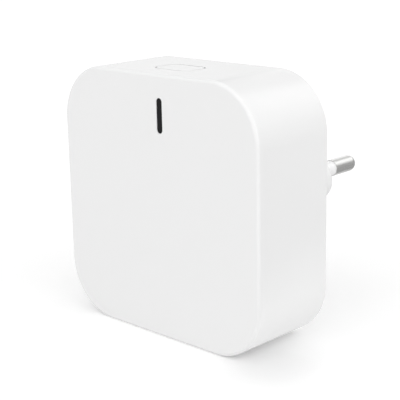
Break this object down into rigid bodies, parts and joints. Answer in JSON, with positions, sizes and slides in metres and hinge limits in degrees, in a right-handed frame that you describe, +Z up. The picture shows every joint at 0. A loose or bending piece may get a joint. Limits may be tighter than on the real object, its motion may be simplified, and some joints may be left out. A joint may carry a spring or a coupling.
{
  "type": "plug-in smart home gateway",
  "caption": "Rounded square white plug-in gateway with a black light slot, a flush push button on top and a flat plug with sleeved round pins at the back.",
  "frame": {"origin": "middle of the flat underside of the housing that the gateway stands on", "axes": "+X to the right of the front face, +Y from the front face to the plug, +Z up"},
  "size_m": [0.06, 0.06, 0.06],
  "materials": {
    "white_plastic": "fine satin moulding",
    "smoked_plastic": "polished, nearly black",
    "clear_plastic": "polished, clear",
    "black_plastic": "moulded, matt",
    "plated_brass": "bright nickel plating",
    "bare_brass": "rolled, plain",
    "sleeve_plastic": "smooth",
    "retainer_plastic": "moulded",
    "circuit_board": "green solder mask",
    "screw_steel": "zinc plated",
    "led_plastic": "clear over a white case",
    "tin_plate": "bright drawn sheet",
    "ferrite": "sintered, dull",
    "winding_tape": "yellow tape over wire",
    "can_sleeve": "shrink sleeve over an aluminium can",
    "disc_coating": "dipped coating",
    "resistor_coating": "dipped coating"
  },
  "bodies": {
    "root": {"front_housing": "white_plastic", "rear_cover": "white_plastic", "light_window": "smoked_plastic", "light_guide": "clear_plastic", "tact_switch": "black_plastic", "plug_pin_right": "plated_brass", "plug_pin_left": "plated_brass", "pin_sleeve_right": "sleeve_plastic", "pin_sleeve_left": "sleeve_plastic", "pin_retainer": "retainer_plastic", "contact_strip_right": "bare_brass", "contact_strip_left": "bare_brass", "main_board": "circuit_board", "power_board": "circuit_board", "network_module": "circuit_board", "mesh_module": "circuit_board", "board_screws": "screw_steel", "status_led_upper": "led_plastic", "status_led_lower": "led_plastic", "network_shield": "tin_plate", "mesh_shield": "tin_plate", "memory_chip": "black_plastic", "regulator_chip": "black_plastic", "crystal": "tin_plate", "transformer_bobbin": "black_plastic", "transformer_core": "ferrite", "transformer_winding": "winding_tape", "bulk_capacitor_upper": "can_sleeve", "bulk_capacitor_lower": "can_sleeve", "output_capacitor": "can_sleeve", "filter_choke": "ferrite", "varistor": "disc_coating", "safety_capacitor": "disc_coating", "fuse_resistor": "resistor_coating", "bridge_rectifier": "black_plastic", "control_chip": "black_plastic", "output_diode": "black_plastic", "link_header": "black_plastic", "link_socket": "black_plastic", "link_pins": "bare_brass"},
    "button": {"pair_button": "white_plastic", "switch_plunger": "black_plastic"}
  },
  "joints": [
    {"name": "button_press", "type": "slide", "parent": "root", "child": "button", "axis": [0, 0, -1], "range_m": [0, 0.0004], "stiffness_N_per_m": 4000}
  ]
}
